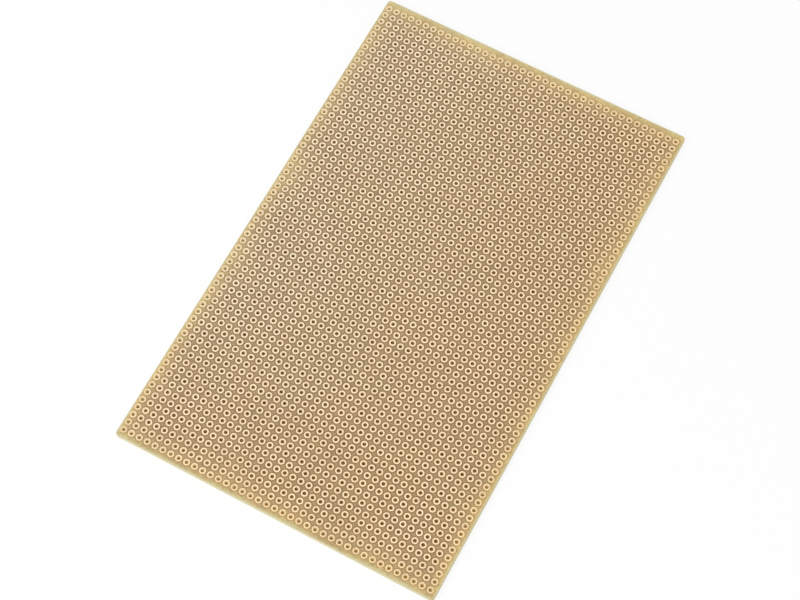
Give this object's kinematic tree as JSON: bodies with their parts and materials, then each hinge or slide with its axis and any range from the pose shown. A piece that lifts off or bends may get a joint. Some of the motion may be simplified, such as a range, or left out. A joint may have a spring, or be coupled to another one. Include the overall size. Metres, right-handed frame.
{
  "type": "prototype board",
  "caption": "Bare prototyping board: a flat rectangular phenolic sheet drilled all over on a fine square grid, with a separate copper ring round every hole on one side.",
  "frame": {"origin": "middle of the component face, which is the plain face that the board lies on", "axes": "+Z out of the copper face, +Y along the long side, +X along the short side"},
  "size_m": [0.1, 0.16, 0.0015],
  "materials": {
    "laminate": "satin tan-brown phenolic paper",
    "copper": "pale lacquered copper foil"
  },
  "bodies": {
    "root": {"laminate": "laminate", "pads_column_01": "copper", "pads_column_02": "copper", "pads_column_03": "copper", "pads_column_04": "copper", "pads_column_05": "copper", "pads_column_06": "copper", "pads_column_07": "copper", "pads_column_08": "copper", "pads_column_09": "copper", "pads_column_10": "copper", "pads_column_11": "copper", "pads_column_12": "copper", "pads_column_13": "copper", "pads_column_14": "copper", "pads_column_15": "copper", "pads_column_16": "copper", "pads_column_17": "copper", "pads_column_18": "copper", "pads_column_19": "copper", "pads_column_20": "copper", "pads_column_21": "copper", "pads_column_22": "copper", "pads_column_23": "copper", "pads_column_24": "copper", "pads_column_25": "copper", "pads_column_26": "copper", "pads_column_27": "copper", "pads_column_28": "copper", "pads_column_29": "copper", "pads_column_30": "copper", "pads_column_31": "copper", "pads_column_32": "copper", "pads_column_33": "copper", "pads_column_34": "copper", "pads_column_35": "copper", "pads_column_36": "copper", "pads_column_37": "copper", "pads_column_38": "copper", "pads_column_39": "copper"}
  },
  "joints": []
}
